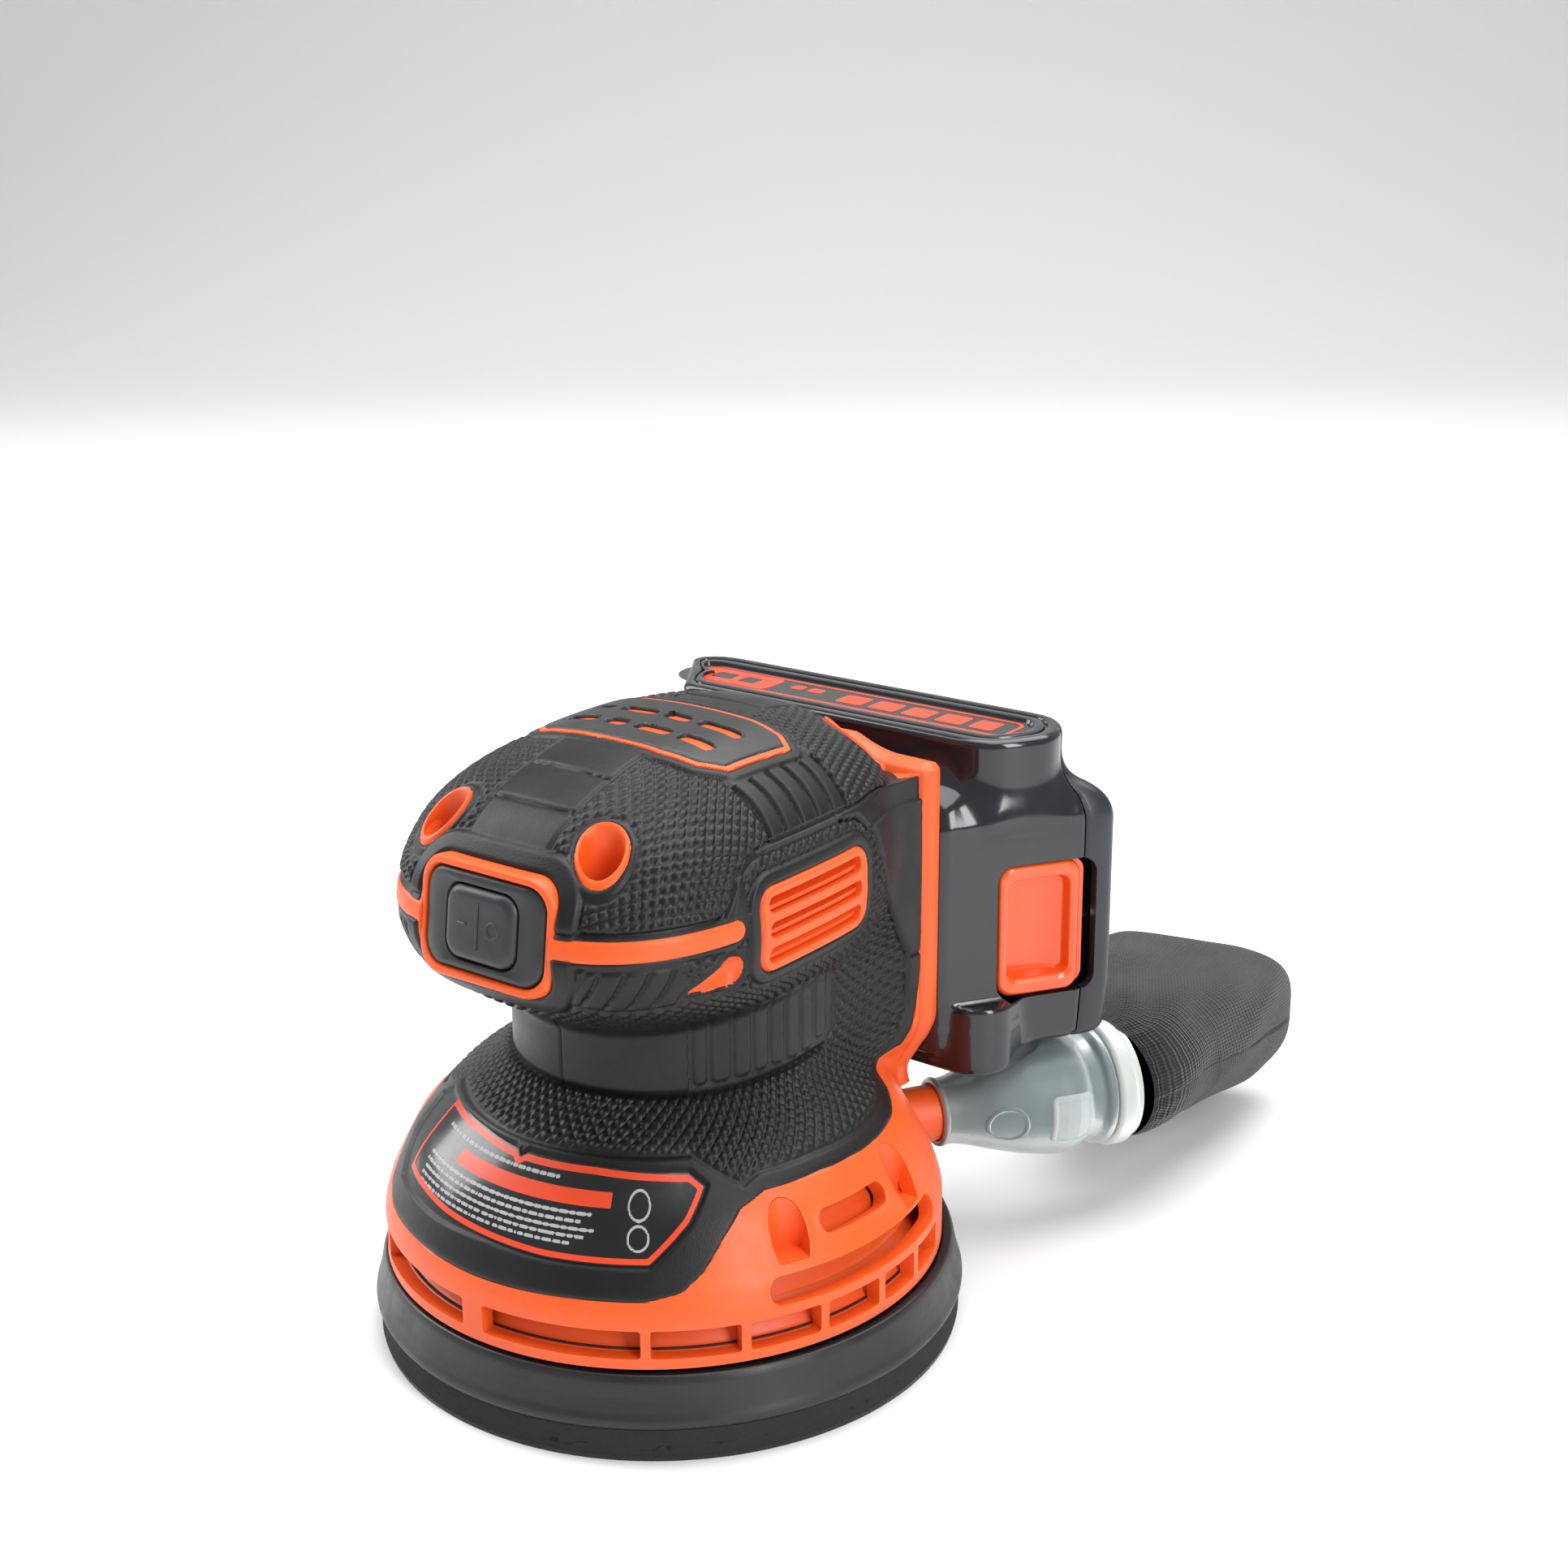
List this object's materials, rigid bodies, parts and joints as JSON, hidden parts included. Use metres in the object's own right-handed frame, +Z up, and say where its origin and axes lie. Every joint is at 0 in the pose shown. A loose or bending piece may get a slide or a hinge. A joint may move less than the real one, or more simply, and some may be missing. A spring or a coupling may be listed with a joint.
{
  "type": "cordless random orbital sander",
  "caption": "Cordless palm-grip random orbital sander with a round hook-faced pad, a sliding battery pack at the back and a cloth dust bag.",
  "frame": {"origin": "middle of the pad's hook face, on the surface that is sanded", "axes": "+Z up along the motor axis, -Y towards the switch at the front, +Y towards the battery pack"},
  "size_m": [0.1315, 0.2341, 0.1313],
  "materials": {
    "hook_black": "woven hook sheet",
    "foam_black": "closed-cell foam",
    "platen_black": "satin",
    "steel": "satin",
    "cast_zinc": "as cast",
    "copper": "enamelled",
    "magnet": "dull",
    "carbon": "dull",
    "inner_plastic": "moulded",
    "orange_plastic": "satin moulded",
    "soft_grip": "textured soft grip",
    "badge_black": "satin",
    "plate_black": "printed film",
    "switch_black": "satin",
    "seal_rubber": "smooth",
    "wire": "insulation",
    "contact": "plated",
    "pack_gloss": "gloss",
    "pack_satin": "satin",
    "cell_wrap": "shrink wrap",
    "board": "solder mask",
    "button_orange": "gloss",
    "clear_grey": "frosted translucent plastic",
    "rim_grey": "satin",
    "collar_white": "translucent milky",
    "bag_fabric": "woven"
  },
  "bodies": {
    "casing": {"motor_can": "steel", "magnets": "magnet", "lower_bearing": "steel", "upper_bush": "copper", "end_bell": "inner_plastic", "brushes": "carbon", "motor_plate": "inner_plastic", "fan_shroud": "inner_plastic", "brake_ring": "seal_rubber", "housing_left": "orange_plastic", "housing_right": "orange_plastic", "grip_left": "soft_grip", "grip_right": "soft_grip", "top_cap": "orange_plastic", "top_grip": "soft_grip", "badge_plate": "badge_black", "cap_screws": "steel", "case_screws": "steel", "vent_left": "orange_plastic", "vent_right": "orange_plastic", "rating_plate": "plate_black", "switch_surround": "orange_plastic", "switch_boot": "switch_black", "switch_body": "inner_plastic", "wires": "wire", "battery_receiver": "inner_plastic", "receiver_blades": "contact"},
    "pad": {"hook_sheet": "hook_black", "foam_pad": "foam_black", "platen": "platen_black", "pad_hub": "cast_zinc", "pad_screws": "steel", "pad_bearing_inner": "steel"},
    "rotor": {"pad_bearing_outer": "steel", "counterweight": "cast_zinc", "fan": "inner_plastic", "shaft": "steel", "armature": "steel", "windings": "copper", "commutator": "copper"},
    "rocker": {"switch_rocker": "switch_black"},
    "pack": {"pack_front": "pack_gloss", "pack_rear": "pack_satin", "cells": "cell_wrap", "cell_holder": "inner_plastic", "pack_board": "board", "pack_terminals": "contact", "pack_screws": "steel", "pack_label": "plate_black", "release_spring": "steel"},
    "release": {"release_button": "button_orange"},
    "adapter": {"dust_adapter": "clear_grey", "adapter_rim": "rim_grey"},
    "bag": {"bag_collar": "collar_white", "dust_bag": "bag_fabric"}
  },
  "joints": [
    {"name": "rotor_spin", "type": "hinge", "parent": "casing", "child": "rotor", "pos_m": [0, 0, 0.03], "axis": [0, 0, 1], "continuous": true},
    {"name": "pad_spin", "type": "hinge", "parent": "rotor", "child": "pad", "pos_m": [0, 0.0012, 0.01], "axis": [0, 0, 1], "continuous": true},
    {"name": "switch_rock", "type": "hinge", "parent": "casing", "child": "rocker", "pos_m": [0, -0.04921, 0.10306], "axis": [0, 0.1392, 0.9903], "range_deg": [0, 6]},
    {"name": "pack_slide", "type": "slide", "parent": "casing", "child": "pack", "axis": [1, 0, 0], "range_m": [0, 0.11]},
    {"name": "release_slide", "type": "slide", "parent": "pack", "child": "release", "axis": [0, 1, 0], "range_m": [0, 0.003], "stiffness_N_per_m": 300, "springref_m": -0.003, "deforming": ["release_spring"]},
    {"name": "adapter_pull", "type": "slide", "parent": "casing", "child": "adapter", "axis": [0.5299, 0.848, 0], "range_m": [0, 0.03]},
    {"name": "bag_pull", "type": "slide", "parent": "adapter", "child": "bag", "axis": [0.5299, 0.848, 0], "range_m": [0, 0.02]}
  ]
}
